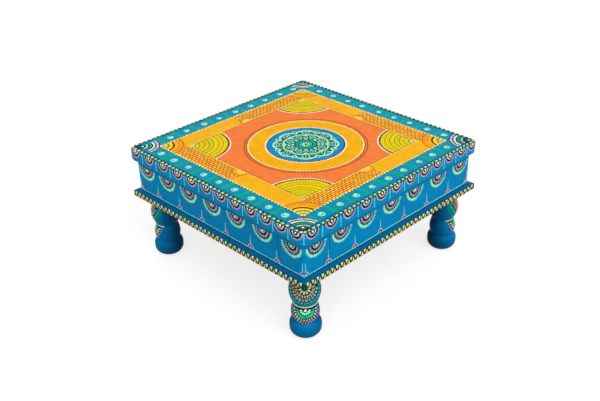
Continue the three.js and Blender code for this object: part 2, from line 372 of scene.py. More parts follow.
dab_tree, dab_in = new_tree("GeometryNodeTree", "cone_dabs", {
    "Geometry": "Geometry", "Dab": "Object", "Unevenness": "Float", "Seed": "Int", "Paint": "Material",
}, {"Geometry": "Geometry"})
dab_shape = add_node(dab_tree, "GeometryNodeObjectInfo", {"Object": dab_in["Dab"]})
dab_turn = add_node(dab_tree, "FunctionNodeAxesToRotation", {
    0: attribute(dab_tree, "outward"), 1: attribute(dab_tree, "along"),
}, primary_axis="Z", secondary_axis="X")
dab_swing = Field(dab_in["Unevenness"])
dab_chance = add_node(dab_tree, "FunctionNodeRandomValue", {
    2: 1.0 - dab_swing, 3: dab_swing + 1.0, "Seed": dab_in["Seed"],
}, data_type="FLOAT")
dab_size = add_node(dab_tree, "ShaderNodeVectorMath", {
    0: attribute(dab_tree, "size"), "Scale": dab_chance.outputs[1],
}, operation="SCALE")
dab_copies = add_node(dab_tree, "GeometryNodeInstanceOnPoints", {
    "Points": dab_in[0], "Instance": dab_shape.outputs["Geometry"],
    "Rotation": dab_turn.outputs[0], "Scale": dab_size.outputs[0],
})
close_tree(dab_tree, dab_copies.outputs[0], dab_in["Paint"])

line_tree, line_in = new_tree("GeometryNodeTree", "cone_lines", {
    "Geometry": "Geometry", "Sides": "Int", "Flatness": "Float", "Unevenness": "Float", "Paint": "Material",
}, {"Geometry": "Geometry"})
line_curve = add_node(line_tree, "GeometryNodeMeshToCurve", {0: line_in[0]})
line_stand = add_node(line_tree, "GeometryNodeSetCurveNormal", {
    0: line_curve.outputs[0], "Normal": attribute(line_tree, "outward"),
}, mode="FREE")
line_noise = add_node(line_tree, "ShaderNodeTexNoise", {"Scale": LINE_SHAKE, "Detail": 1.0}).outputs["Fac"]
line_factor = (Field(line_noise) - 0.5).math("MULTIPLY_ADD", line_in["Unevenness"], 1.0)
line_ring = add_node(line_tree, "GeometryNodeCurvePrimitiveCircle", {
    "Resolution": line_in["Sides"], "Radius": 1.0,
})
line_squash = add_node(line_tree, "ShaderNodeCombineXYZ", {0: line_in["Flatness"], 1: 1.0, 2: 1.0})
line_section = add_node(line_tree, "GeometryNodeTransform", {
    0: line_ring.outputs[0], "Scale": line_squash.outputs[0],
})
line_tube = add_node(line_tree, "GeometryNodeCurveToMesh", {
    0: line_stand.outputs[0], 1: line_section.outputs[0],
    "Scale": line_factor * attribute(line_tree, "girth", "FLOAT"), "Fill Caps": True,
})
close_tree(line_tree, line_tube.outputs[0], line_in["Paint"])


def cone_finish(name):
    """Thick paint, in the colour that each stroke carries, a little uneven and a little shiny."""
    material = blank_finish(name)
    tree = material.node_tree
    tone = add_node(tree, "ShaderNodeAttribute", attribute_name="tone").outputs["Color"]
    patch = noise(tree, 420.0, 3.0)
    colour = mix(tree, patch.ramp(0.35, 0.6), mix(tree, 1.0, tone, WORN, "MULTIPLY"), tone)
    finish_surface(material, colour, patch.ramp(0.3, 0.7, 0.32, 0.55), patch, CONE_RELIEF)
    return material


def guide_mesh(name, places, edges, **facts):
    """Points, and the lines between them, with the facts about each that its tree reads by name."""
    mesh = bpy.data.meshes.new(name)
    mesh.from_pydata([place * MM for place in places], edges, [])
    for fact, values in facts.items():
        kind, field = FACT_KINDS[len(values[0])]
        numbers = [number for value in values for number in value]
        mesh.attributes.new(fact, kind, "POINT").data.foreach_set(field, numbers)
    return mesh


def grow(mesh, tree, settings):
    """Runs a tree on a mesh of guide points and keeps the result as a plain mesh."""
    guide = add_object(mesh.name, mesh)
    modifier = guide.modifiers.new("cone", "NODES")
    modifier.node_group = tree
    for socket in tree.interface.items_tree:
        if socket.in_out == "INPUT" and socket.name in settings:
            modifier[socket.identifier] = settings[socket.name]
    bpy.context.view_layer.update()
    grown = bpy.data.meshes.new_from_object(guide.evaluated_get(bpy.context.evaluated_depsgraph_get()))
    bpy.data.objects.remove(guide)
    return grown


class Cone:
    """The strokes of one stretch of ornament, on a face that turns a place into a point and its normal."""

    def __init__(self, flatness=0.16):
        self.flatness = flatness
        self.face = None
        self.dabs = []
        self.lines = []

    def dab(self, place, heading, size, tone):
        """One touch. Its size is its length along the heading, its width and its height."""
        at, outward = self.face(*place)
        ahead, _ = self.face(*around(place, STEP_AHEAD, heading))
        self.dabs.append((at, outward, (ahead - at).normalized(), Vector(size) * MM, tone))

    def line(self, places, width, tone, closed=False, height=None):
        """A drawn line. Its height, if given, is kept by sinking its middle into the surface."""
        sunk = 0 if height is None else width / 2 * self.flatness - height
        path = [(at - outward * sunk, outward) for at, outward in (self.face(*place) for place in places)]
        self.lines.append((path, width / 2 * MM, tone, closed))

    def arc_dabs(self, centre, radius, count, size, tone, start=math.pi, sweep=math.pi, along=False):
        """Touches on an arc, pointing away from its centre or along it. The tone may follow the share."""
        for i in range(count):
            angle = start + sweep * (i + 0.5) / count
            heading = angle + math.pi / 2 * along
            shade = tone(i / max(count - 1, 1)) if callable(tone) else tone
            self.dab(around(centre, radius, angle), heading, size, shade)

    def rings(self, centre, rows, **arc):
        for radius, count, size, tone in rows:
            self.arc_dabs(centre, radius, count, size, tone, **arc)

    def arc_line(self, centre, radius, width, tone, start=math.pi, sweep=math.pi, steps=16, height=None):
        closed = sweep >= 2 * math.pi
        angles = [start + sweep * i / steps for i in range(steps if closed else steps + 1)]
        self.line([around(centre, radius, a) for a in angles], width, tone, closed, height)

    def finish(self, name, unevenness=0.12, sides=6, dab_shape=cone_dab):
        """Turns the strokes into one piece of raised paint that rides on the table."""
        finish = cone_finish(name + "_paint")
        places, outward, along, sizes, tones = zip(*self.dabs)
        facts = {"outward": outward, "along": along, "size": sizes, "tone": tones}
        points = guide_mesh(name + "_points", places, [], **facts)
        shared = {"Unevenness": unevenness, "Paint": finish}
        meshes = [grow(points, dab_tree, {"Dab": dab_shape, "Seed": DAB_SEED, **shared})]
        path, edges, girths, tones = [], [], [], []
        for stroke, girth, tone, closed in self.lines:
            first = len(path)
            path += stroke
            girths += [(girth,)] * len(stroke)
            tones += [tone] * len(stroke)
            edges += [(i, i + 1) for i in range(first, len(path) - 1)]
            edges += [(len(path) - 1, first)] if closed else []
        if path:
            places, outward = zip(*path)
            paths = guide_mesh(name + "_paths", places, edges, outward=outward, girth=girths, tone=tones)
            meshes.append(grow(paths, line_tree, {"Sides": sides, "Flatness": self.flatness, **shared}))
        joined = bmesh.new()
        for mesh in meshes:
            joined.from_mesh(mesh)
        whole = as_mesh(name, joined)
        coat(whole, finish)
        piece = add_object(name, whole)
        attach(piece, "root")


def around(centre, radius, angle):
    return centre[0] + radius * math.cos(angle), centre[1] + radius * math.sin(angle)


def quarter_turn(side):
    return Matrix.Rotation(side * math.pi / 2, 4, "Z")


def side_face(side, reach):
    """One upright side of the table: places are across and up, seen from outside."""
    def face(across, up):
        return quarter_turn(side) @ Vector((across, -reach, up)), quarter_turn(side) @ Vector((0, -1, 0))
    return face


hand = random.Random(11)


def shaken(amount):
    return hand.uniform(-amount, amount)


def across_tones(*tones):
    """Goes evenly through the tones given, from one end of a row to the other."""
    def tone(share):
        place = share * (len(tones) - 1)
        i = min(int(place), len(tones) - 2)
        return tuple(a + (b - a) * (place - i) for a, b in zip(tones[i], tones[i + 1]))
    return tone


PETAL_TONES = (across_tones(VIOLET, PINK), across_tones(PINK, VIOLET))
FRINGE_TONES = (across_tones(MINT, MINT, SPRING), across_tones(SPRING, MINT, AQUA))
HALF_ROUND_COUNT, HALF_ROUND_PITCH = 7, 42.3
HALF_ROUND_SLIP, ARCH_SLIP, END_ARCH_INSET = 3.6, 1.6, 2.2
HALF_ROUND_TOP = BOX_TOP - 7.3
ROPE_HEIGHT, ROPE_PITCH, ROPE_LEAN = BOX_BOTTOM + 10.6, 2.0, math.radians(14)
STEM_DOTS, STEM_PITCH, STEM_DOT = 7, 1.35, 1.35
apron_cone = Cone()


def apron_half_round(middle, petals, fringe):
    """A half round from its dot outwards: olive touches, black, petals, black with white and a fringe."""
    centre = (middle + shaken(0.8), HALF_ROUND_TOP + shaken(0.5))
    apron_cone.dab((centre[0] + shaken(0.4), centre[1] - 1.8), 0, (3.2, 3.0, 1.1), WHITE)
    apron_cone.arc_line(centre, 1.5, 3.2, BLACK, steps=6)
    for radius in (6.5, 10.9):
        apron_cone.arc_line(centre, radius, 2.5, BLACK)
    apron_cone.rings(centre, (
        (4.3, 6, (2.1, 1.9, 0.8), OLIVE),
        (8.6, 11, (2.1, 2.1, 0.8), petals),
        (10.4, 13, (0.8, 0.9, 0.55), WHITE),
        (14.2, 17, (4.2, 2.2, 0.8), fringe),
    ))


def apron_arch(middle, start=0.0, sweep=math.pi):
    """A small pink arch with a green eye, or half of one, and a dotted stem above it."""
    across, up = middle + shaken(0.4), ROPE_HEIGHT + 0.6
    whole = sweep == math.pi
    if whole:
        apron_cone.arc_line((across, up), 1.7, 2.2, BLACK, start=start, steps=8)
    count = 5 if whole else 3
    apron_cone.arc_dabs((across, up), 4.0, count, (2.5, 1.7, 0.7), PINK, start, sweep, along=True)
    apron_cone.dab((across, up + 1.0), 0, (2.2, 1.5, 0.9), MINT)
    apron_cone.dab((across, up + 5.4), math.pi / 2, (2.6, 1.4, 0.7), PINK)
    for i in range(STEM_DOTS):
        size = STEM_DOT * (1 - 0.45 * i / STEM_DOTS)
        place = (across, up + 7.2 + i * STEM_PITCH)
        apron_cone.dab(place, math.pi / 2, (size * 1.3, size, size * 0.5), AQUA)


half_count = (HALF_ROUND_COUNT - 1) / 2
rope_turns = round(2 * BOX_HALF / ROPE_PITCH)
for side in range(len(SIDES)):
    apron_cone.face = side_face(side, BOX_HALF)
    for i in range(HALF_ROUND_COUNT):
        slip = HALF_ROUND_SLIP * (1 - ((i - half_count) / half_count) ** 2)
        across = (i - half_count) * HALF_ROUND_PITCH - slip
        apron_half_round(across, PETAL_TONES[side % 2], FRINGE_TONES[side % 2])
    for i in range(HALF_ROUND_COUNT - 1):
        apron_arch((i - half_count + 0.5) * HALF_ROUND_PITCH - ARCH_SLIP)
    apron_arch(BOX_HALF - END_ARCH_INSET, start=math.pi / 2, sweep=math.pi / 2)
    apron_arch(END_ARCH_INSET - BOX_HALF, start=0.0, sweep=math.pi / 2)
    rope_shade = [(BOX_HALF * share, ROPE_HEIGHT - 1.1) for share in (-0.995, -0.5, 0, 0.5, 0.995)]
    apron_cone.line(rope_shade, 0.9, BLACK)
    for i in range(rope_turns):
        across = (i + 0.5) * 2 * BOX_HALF / rope_turns - BOX_HALF
        apron_cone.dab((across, ROPE_HEIGHT), ROPE_LEAN, (2.5, 0.8, 0.6), SPRING if i % 2 else AQUA)
apron_cone.finish("apron_cone_paint")

# Base moulding: four mitred strips, glued and pinned round the foot of the box, with their edges softened.
# The ledge is a deeper blue. The upright face is dark teal, with yellow triangles on end, orange ones
# pointing down between them and a dark leaf beside each upright one.
MOULDING_BLUE, FASCIA_TEAL = paint(4, 98, 148), paint(0, 64, 78)
TRIANGLE_YELLOW, TRIANGLE_CREAM = paint(242, 232, 120), paint(236, 246, 192)
TRIANGLE_ORANGE, TRIANGLE_LEAF = paint(234, 206, 132), paint(4, 66, 66)
moulding_low, moulding_high = (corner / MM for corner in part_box("moulding_front"))
MOULDING_FACE, MOULDING_BACK, MOULDING_TOP = -moulding_low.y, -moulding_high.y, moulding_high.z
MOULDING_RISE, MOULDING_EDGE, EDGE_STEPS = 1.2, 0.9, 4
MITRE_GAP, FASCIA_DEPTH, FASCIA_DROP = 0.3, 0.7, 0.2
TRIANGLE_PITCH, TRIANGLE_MARGIN, TRIANGLE_SIZE = 7.6, 1.4, (3.7, 4.8, 0.56)
CREAM_SHARE, TRIANGLE_SWAY = 0.4, 0.06
LEAF_LEAN, LEAF_SIZE = math.radians(118), (5.0, 1.9, 0.64)


def rounded_corner(middle, start):
    angles = [start + math.pi / 2 * i / EDGE_STEPS for i in range(EDGE_STEPS + 1)]
    return [around(middle, MOULDING_EDGE, a) for a in angles]


fascia_top = MOULDING_TOP - MOULDING_RISE
edge_middle = MOULDING_FACE - MOULDING_EDGE
moulding_section = [(MOULDING_BACK, BOX_BOTTOM)]
moulding_section += rounded_corner((edge_middle, BOX_BOTTOM + MOULDING_EDGE), -math.pi / 2)
moulding_section += rounded_corner((edge_middle, fascia_top - MOULDING_EDGE), 0.0)
moulding_section += [(MOULDING_BACK, MOULDING_TOP)]


def moulding_colour(tree):
    on_face = plan_distances(tree)[1] > MOULDING_FACE - FASCIA_DEPTH
    below = coordinates(tree)[2] < fascia_top - FASCIA_DROP
    return mix(tree, on_face * below, MOULDING_BLUE, FASCIA_TEAL)


def shade_by_angle(mesh, degrees=35.0):
    """Smooth shading that keeps the arrises of a mesh sharp."""
    shape = bmesh.new()
    shape.from_mesh(mesh)
    for face in shape.faces:
        face.smooth = True
    for edge in shape.edges:
        edge.smooth = edge.is_manifold and edge.calc_face_angle(0.0) < math.radians(degrees)
    shape.to_mesh(mesh)
    shape.free()


def add_piece(name, mesh, finish, slot, *nodes):
    coat(mesh, finish)
    piece = add_object(name, mesh)
    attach(piece, "root")
    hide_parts(*nodes)


for side, (name, run) in enumerate(zip(SIDES, RUNS)):
    strip = skinned("painted_moulding_" + name, [
        [(end * (out - MITRE_GAP / 2), -out, up) for out, up in moulding_section] for end in (1, -1)
    ])
    strip.transform(quarter_turn(side))
    shade_by_angle(strip)
    strip_finish = painted_outside("moulding_paint_" + name, moulding_colour, run)
    add_piece("painted_moulding_" + name, strip, strip_finish, "painted_moulding", "moulding_" + name)

triangle_dab = make_dab("triangle_dab", [
    (-0.5, -0.44), (-0.44, -0.5), (0.44, -0.5), (0.5, -0.44), (0.06, 0.5), (-0.06, 0.5),
])
fascia_middle = (BOX_BOTTOM + fascia_top) / 2
triangle_cone, leaf_cone = Cone(), Cone()
triangle_run = 2 * (MOULDING_FACE - TRIANGLE_MARGIN)
triangle_count = round(triangle_run / TRIANGLE_PITCH)
triangle_step = triangle_run / triangle_count
for side in range(len(SIDES)):
    triangle_cone.face = leaf_cone.face = side_face(side, MOULDING_FACE)
    for i in range(triangle_count):
        across = (i - (triangle_count - 1) / 2) * triangle_step + shaken(0.25)
        tone = TRIANGLE_CREAM if hand.random() < CREAM_SHARE else TRIANGLE_YELLOW
        upright = math.pi + shaken(TRIANGLE_SWAY)
        triangle_cone.dab((across, fascia_middle + 1.0), upright, TRIANGLE_SIZE, tone)
        if i < triangle_count - 1:
            place = (across + triangle_step / 2, fascia_middle - 0.9)
            triangle_cone.dab(place, shaken(TRIANGLE_SWAY), TRIANGLE_SIZE, TRIANGLE_ORANGE)
        leaf_cone.dab((across - triangle_step / 4, fascia_middle + 0.1), LEAF_LEAN, LEAF_SIZE, TRIANGLE_LEAF)
triangle_cone.finish("moulding_triangles", unevenness=0.06, dab_shape=triangle_dab)
leaf_cone.finish("moulding_leaves", unevenness=0.06)

# Legs: each is turned from one square billet. Its square head is the corner post, with two mortises.
# Below the box it is a ball, a barrel and a foot, painted blue, with rosettes on the outward side.
CORNERS = ("front_right", "back_right", "back_left", "front_left")
leg_low, leg_high = (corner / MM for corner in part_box("leg_front_right"))
POST_WIDTH = leg_high.x - leg_low.x
LEG_OFFSET = BOX_HALF - POST_WIDTH / 2
BALL_RADIUS, BARREL_RADIUS, FOOT_RADIUS, FOOT_FLAT_RADIUS = 18.2, 16.2, 18.4, 6.5
NECK_RADIUS, CREASE_RADIUS, GROOVE_RADIUS = 12.5, 13.3, 14.6
SHOULDER_HEIGHT, SHOULDER_REACH = 4, 0.72 * POST_WIDTH
BALL_TOP, CREASE, GROOVE = 0.935 * BOX_BOTTOM, 0.526 * BOX_BOTTOM, 0.266 * BOX_BOTTOM
FOOT_TOP, FOOT_ROUND, FOOT_SWELL_SHARE = 0.185 * BOX_BOTTOM, 0.132 * BOX_BOTTOM, 0.25
TENON_THICKNESS, TENON_HEIGHT, TENON_LENGTH, TENON_EASE = 6, 34, 18, 0.3
LEG_SEGMENTS, FOOT_STEPS, ARRIS = 96, 12, 0.8
# The two darker leg blues are painted shade: one for the sides that face in under the table, one for the foot
# near the floor.
LEG_BLUE, LEG_PAINTED_SHADE, LEG_FLOOR_SHADE = paint(0, 118, 174), paint(0, 58, 98), paint(0, 52, 84)
ROSETTE_GREEN, ROSETTE_NAVY = paint(0, 128, 124), paint(2, 40, 74)
ROSETTE_HEIGHT, HALF_ROSETTE_HEIGHT = 71.2, 41.4
ROSETTE_RING, ROSETTE_GROUND, HALF_ROSETTE_GROUND = 24.2, 16.8, 18.2


def swelling(start, end, bulge, steps):
    points = []
    for i in range(steps):
        share = i / steps
        radius = start[0] + (end[0] - start[0]) * share + bulge * math.sin(math.pi * share)
        points.append((radius, start[1] + (end[1] - start[1]) * share))
    return points


def leg_outline():
    """The turned outline from the floor to the head, as radius and height."""
    points = [(FOOT_FLAT_RADIUS, 0.0)]
    for i in range(1, FOOT_STEPS + 1):
        angle = math.pi / 2 * i / FOOT_STEPS
        radius = FOOT_FLAT_RADIUS + (FOOT_RADIUS - FOOT_FLAT_RADIUS) * math.sin(angle)
        points.append((radius, FOOT_ROUND * (1 - math.cos(angle))))
    groove, crease, ball_top = (GROOVE_RADIUS, GROOVE), (CREASE_RADIUS, CREASE), (NECK_RADIUS, BALL_TOP)
    points += swelling((FOOT_RADIUS, FOOT_TOP), groove, (FOOT_RADIUS - GROOVE_RADIUS) * FOOT_SWELL_SHARE, 10)
    points += swelling(groove, crease, BARREL_RADIUS - (GROOVE_RADIUS + CREASE_RADIUS) / 2, 16)
    points += swelling(crease, ball_top, BALL_RADIUS - (CREASE_RADIUS + NECK_RADIUS) / 2, 24)
    return points + [ball_top, (NECK_RADIUS, BOX_BOTTOM)]


def turned_mesh(name, outline):
    """A closed turned solid about the Z axis, from an outline listed from the bottom up."""
    angles = [2 * math.pi * k / LEG_SEGMENTS for k in range(LEG_SEGMENTS)]
    loops = [[(*around((0, 0), radius, a), height) for a in angles] for radius, height in outline]
    return skinned(name, loops)


def block_mesh(name, low, high, arris=0.0):
    shape = bmesh.new()
    bmesh.ops.create_cube(shape, size=1.0)
    for vertex in shape.verts:
        place = [a + (b - a) * (share + 0.5) for a, b, share in zip(low, high, vertex.co)]
        vertex.co = Vector(place) * MM
    if arris:
        edges = shape.edges[:]
        bmesh.ops.bevel(shape, geom=edges, offset=arris * MM, segments=3, affect="EDGES", profile=0.5)
    return as_mesh(name, shape)


def carve(mesh, cuts):
    """Joins, trims and cuts a mesh with others, in the order given."""
    work = add_object("leg_work", mesh)
    tools = []
    for operation, tool_mesh in cuts:
        tools.append(add_object("leg_tool", tool_mesh))
        modifier = work.modifiers.new("cut", "BOOLEAN")
        modifier.operation, modifier.object, modifier.solver = operation, tools[-1], "EXACT"
    bpy.context.view_layer.update()
    carved = bpy.data.meshes.new_from_object(work.evaluated_get(bpy.context.evaluated_depsgraph_get()))
    for tool in tools + [work]:
        bpy.data.objects.remove(tool)
    return carved


half_post = POST_WIDTH / 2
outline = leg_outline()
head = block_mesh("leg_head", (-half_post, -half_post, BOX_BOTTOM), (half_post, half_post, BOX_TOP), ARRIS)
shoulder = turned_mesh("leg_shoulder", [
    (half_post, BOX_BOTTOM - ARRIS), (half_post, BOX_BOTTOM), (SHOULDER_REACH, BOX_BOTTOM + SHOULDER_HEIGHT),
    (SHOULDER_REACH, BOX_TOP + ARRIS),
])
turning = turned_mesh("leg_turning", outline + [(NECK_RADIUS, BOX_BOTTOM + SHOULDER_HEIGHT)])
tenon_low = (BOX_BOTTOM + BOX_TOP - TENON_HEIGHT) / 2 - TENON_EASE
tenon_high = tenon_low + TENON_HEIGHT + 2 * TENON_EASE
tenon_near = APRON_THICKNESS / 2 - half_post - TENON_THICKNESS / 2 - TENON_EASE
tenon_far = tenon_near + TENON_THICKNESS + 2 * TENON_EASE
mortise_end = TENON_LENGTH + TENON_EASE - half_post
mortises = [
    block_mesh("mortise", (-POST_WIDTH, tenon_near, tenon_low), (mortise_end, tenon_far, tenon_high)),
    block_mesh("mortise", (-tenon_far, -mortise_end, tenon_low), (-tenon_near, POST_WIDTH, tenon_high)),
]
leg_mesh = carve(head, [("INTERSECT", shoulder), ("UNION", turning)] + [("DIFFERENCE", m) for m in mortises])


def inner_post_faces(tree):
    return plan_distances(tree)[0] < BOX_HALF - POST_WIDTH + MASK_EASE


def distance(first, second):
    return (first * first + second * second).math("SQRT")


def rosette_reach(tree, height, eye):
    """How far a point of the turned part lies from the eye of a rosette on its outward side."""
    near, far = (reach - LEG_OFFSET for reach in plan_distances(tree))
    return distance((math.pi / 4 - near.math("ARCTAN2", far)) * BARREL_RADIUS, height - eye)


def coats(tree, colour, *layers):
    """Colours laid over one another: each layer is a mask of where it covers, and its colour."""
    for cover, tone in layers:
        colour = mix(tree, cover, colour, tone)
    return colour


def leg_colour(tree):
    """The box blue on the head. Below it a blue with painted shade, deeper on the inward sides under the
    table and towards the floor, and green and navy grounds under the rosettes."""
    height = coordinates(tree)[2]
    near, far = plan_distances(tree)
    outward = near + far - 2 * LEG_OFFSET
    on_ball = (height > CREASE) * (height < BOX_BOTTOM - MASK_EASE)
    ball = rosette_reach(tree, height, ROSETTE_HEIGHT)
    barrel = rosette_reach(tree, height, HALF_ROSETTE_HEIGHT)
    return coats(
        tree, LEG_PAINTED_SHADE,
        # Painted shade: the blue deepens from the outward side to the sides that face in under the table.
        (outward.ramp(-FOOT_RADIUS, FOOT_RADIUS), LEG_BLUE),
        # Painted shade: the blue darkens towards the floor.
        (height.ramp(0.0, FOOT_TOP * 1.7, 0.62, 0.0), LEG_FLOOR_SHADE),
        (height > BOX_BOTTOM - MASK_EASE, SIDE_BLUE),
        (on_ball * (ball < ROSETTE_RING), ROSETTE_GREEN),
        (on_ball * (ball < ROSETTE_GROUND), ROSETTE_NAVY),
        ((barrel < HALF_ROSETTE_GROUND) * (height < CREASE), ROSETTE_NAVY),
    )


leg_finish = painted_outside("leg_blue", leg_colour, "z", inner_post_faces)
for corner, name in enumerate(CORNERS):
    mesh = leg_mesh.copy()
    mesh.transform(quarter_turn(corner) @ Matrix.Translation(Vector((LEG_OFFSET, -LEG_OFFSET, 0)) * MM))
    shade_by_angle(mesh)
    add_piece("turned_leg_" + name, mesh, leg_finish, "painted_leg", "leg_" + name)

# Leg ornament: a rosette inside a green band on the ball, and a half rosette under a cream necklace in the
# crease. It is squeezed from the cone too, on the side that faces out from the corner.
CORAL, MAUVE, GREEN = paint(224, 104, 104), paint(206, 146, 172), paint(0, 172, 142)
BRIGHT_GREEN, ORANGE = paint(60, 214, 150), paint(246, 178, 70)
HEAD_MARGIN_ANGLE = math.radians(28)
NECKLACE_REACH, NECKLACE_PITCH = 9, 2.1
outline_lengths = [0.0]
for low, high in zip(outline, outline[1:]):
    outline_lengths.append(outline_lengths[-1] + math.dist(low, high))


def up_the_leg(length):
    """The radius, height and slope of the outline at a length measured up along it."""
    i = next((i for i in range(1, len(outline)) if length <= outline_lengths[i]), len(outline) - 1)
    (r0, z0), (r1, z1) = outline[i - 1], outline[i]
    share = (length - outline_lengths[i - 1]) / (outline_lengths[i] - outline_lengths[i - 1])
    return r0 + (r1 - r0) * share, z0 + (z1 - z0) * share, math.atan2(r1 - r0, z1 - z0)


def length_at(height):
    i = next(i for i in range(1, len(outline)) if outline[i][1] >= height)
    share = (height - outline[i - 1][1]) / (outline[i][1] - outline[i - 1][1])
    return outline_lengths[i - 1] + (outline_lengths[i] - outline_lengths[i - 1]) * share


def leg_face(corner, centre_height):
    """The outward side of a leg: places are round it and up along it from a point at a height."""
    def face(aside, up):
        radius, height, slope = up_the_leg(length_at(centre_height) + up)
        angle = aside / max(radius, CREASE_RADIUS) - math.pi / 4
        out = Vector((math.cos(angle), math.sin(angle), 0))
        axis = Vector((LEG_OFFSET, -LEG_OFFSET, height))
        normal = out * math.cos(slope) - Vector((0, 0, math.sin(slope)))
        return quarter_turn(corner) @ (axis + out * radius), (quarter_turn(corner) @ normal).normalized()
    return face


leg_cone = Cone()
start, sweep = math.pi - HEAD_MARGIN_ANGLE, math.pi + 2 * HEAD_MARGIN_ANGLE
for corner in range(len(CORNERS)):
    leg_cone.face = leg_face(corner, ROSETTE_HEIGHT)
    leg_cone.arc_dabs((0, 0), 20.4, 17, (2.4, 2.0, 0.5), BRIGHT_GREEN)
    leg_cone.arc_dabs(
        (0, 0), 15.2, 15, (3.5, 3.3, 0.8), across_tones(CORAL, MAUVE, MAUVE, VIOLET),
        start - 0.2, sweep - 0.4,
    )
    leg_cone.rings((0, 0), (
        (12.2, 19, (1.3, 1.5, 0.6), across_tones(OLIVE, MINT, CREAM)),
        (9.6, 13, (2.9, 2.5, 0.8), across_tones(ORANGE, OLIVE, OLIVE)),
    ), start=start, sweep=sweep)
    leg_cone.arc_dabs((0, 0), 5.2, 11, (4.4, 2.3, 0.9), LIME, sweep=2 * math.pi)
    leg_cone.dab((0, 0), 0, (2.6, 2.4, 0.9), WHITE)
    leg_cone.face = leg_face(corner, CREASE + 0.4)
    for i in range(-NECKLACE_REACH, NECKLACE_REACH + 1):
        leg_cone.dab((i * NECKLACE_PITCH, 0), 0.3, (2.1, 1.6, 0.9), CREAM)
    leg_cone.face = leg_face(corner, HALF_ROSETTE_HEIGHT)
    leg_cone.dab((0, -0.8), 0, (3.2, 3.0, 1.1), WHITE)
    leg_cone.rings((0, 0), (
        (5.0, 8, (3.8, 2.0, 0.8), across_tones(LIME, MINT, LIME)),
        (9.7, 15, (5.4, 2.1, 0.6), across_tones(GREEN, BRIGHT_GREEN, GREEN, BRIGHT_GREEN, GREEN)),
        (13.8, 14, (2.6, 2.2, 0.8), across_tones(CREAM, OLIVE, CREAM)),
        (17.2, 17, (2.4, 2.0, 0.8), across_tones(MAUVE, PINK, MAUVE)),
    ))
leg_cone.finish("leg_cone_paint")

# Cleats and fixings: square strips of bare wood inside the aprons, which hold the top down.
# Zinc-plated screws go up and sideways through them, and the moulding has pins of the same metal.
ZINC_DULL, ZINC_BRIGHT, ZINC_RELIEF = paint(150, 152, 148), paint(214, 212, 200), 0.02
zinc = blank_finish("zinc_plate")
zinc_bloom, zinc_rings = noise(zinc.node_tree, 700.0, 4.0), noise(zinc.node_tree, 2500.0, 2.0)
zinc_tone = mix(zinc.node_tree, zinc_bloom, ZINC_DULL, ZINC_BRIGHT)
zinc_roughness = zinc_bloom.ramp(0.0, 1.0, 0.25, 0.5)
finish_surface(zinc, zinc_tone, zinc_roughness, zinc_rings, ZINC_RELIEF, {"Metallic": 1.0})

for side, run in zip(SIDES, RUNS):
    cleat_finish = blank_finish("cleat_wood_" + side)
    finish_surface(cleat_finish, *wood_finish(cleat_finish.node_tree, run), GRAIN_RELIEF)
    coat(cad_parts["cleat_" + side].data, cleat_finish)
for name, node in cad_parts.items():
    if "_screw_" in name or "_pin_" in name:
        coat(node.data, zinc)

# Top board: one thick board with rounded corners and edges, screwed down from below.
# Its face is painted in fields: a blue border, an orange band half in bricks, coral, corner fans and rings.
board_low, board_high = (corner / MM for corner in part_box("top_board"))
PAINT_BUILD = 0.7
BOARD_HALF = board_high.x - PAINT_BUILD
BOARD_TOP, BOARD_BOTTOM = board_high.z - PAINT_BUILD, board_low.z
BOARD_CORNER, BOARD_EDGE = 8.6, 3
CORNER_STEPS, BOARD_EDGE_STEPS = 12, 6
BAND_OUTER, BAND_INNER, BRICKS_END = 123.9, 99.2, 7.0
BRICK_LENGTH, BRICK_HEIGHT, BRICK_GAP = 6.2, 3.53, 0.8
DISC_MIDDLE, DISC_RADIUS, RING_RADIUS, RED_RING_RADIUS = (4.6, 0.6), 48.6, 70.9, 75.5
LOBE_REACH = 39.8
FAN_RADIUS, LEFT_FAN_EXTRA, CORNER_ARC_RADIUS = 48.2, 3.2, 29.6
BORDER_PITCH, NEAR_SLIP, FAR_SLIP = 27.1, 1.4, 8.2
STRIPE_FADE, LID_LINE, LID_SIDE = (9.6, 12.6), 145.2, 148.0
SUN_RADIUS, SUN_LINE = 10.4, 11.2
BRUSH_MARGIN, WANDER, WANDER_SCALE = 0.25, 1.6, 55.0
LID_BLUE, BORDER_BLUE, BORDER_GREEN = paint(0, 140, 192), paint(0, 148, 182), paint(0, 174, 142)
BAND_ORANGE, BAND_DEEP = paint(255, 184, 24), paint(250, 152, 36)
BRICK_YELLOW, BRICK_ORANGE, BRICK_JOINT = paint(255, 224, 80), paint(254, 182, 34), paint(214, 76, 8)
FIELD_CORAL, RING_YELLOW = paint(255, 130, 58), paint(255, 180, 6)
LINE_RED, LINE_BROWN, LINE_NAVY = paint(196, 60, 26), paint(84, 50, 8), paint(6, 30, 52)
DISC_BLUE, DISC_TEAL, EDGE_TEAL = paint(0, 142, 196), paint(0, 124, 126), paint(0, 92, 122)
FAN_OLIVE, SUN_YELLOW, TIP_CREAM = paint(132, 104, 4), paint(252, 212, 30), paint(228, 190, 92)
FAN_TONES = (
    paint(228, 220, 70), paint(236, 206, 24), paint(238, 214, 12), paint(250, 208, 4),
    paint(232, 210, 12), paint(244, 222, 16), paint(252, 206, 4), paint(246, 214, 6),
)
FAN_BAND, FAN_LINE = 5.7, 0.9
FAN_STOPS = []
for i, fan_tone in enumerate(FAN_TONES):
    FAN_STOPS += [(i * FAN_BAND, fan_tone), ((i + 1) * FAN_BAND - FAN_LINE, FAN_OLIVE)]
FAN_STOPS += [(len(FAN_TONES) * FAN_BAND, LINE_BROWN), (FAN_RADIUS, LINE_BROWN)]
CORNER_STOPS = [
    (0, TIP_CREAM), (4.8, FAN_OLIVE), (5.6, TIP_CREAM), (9.8, FAN_OLIVE), (10.8, SUN_YELLOW),
    (15.8, LINE_BROWN), (18.2, BAND_ORANGE), (22.8, BRICK_JOINT), (23.6, BAND_ORANGE), (25.2, BAND_DEEP),
    (28.4, BRICK_JOINT), (CORNER_ARC_RADIUS, BRICK_JOINT),
]


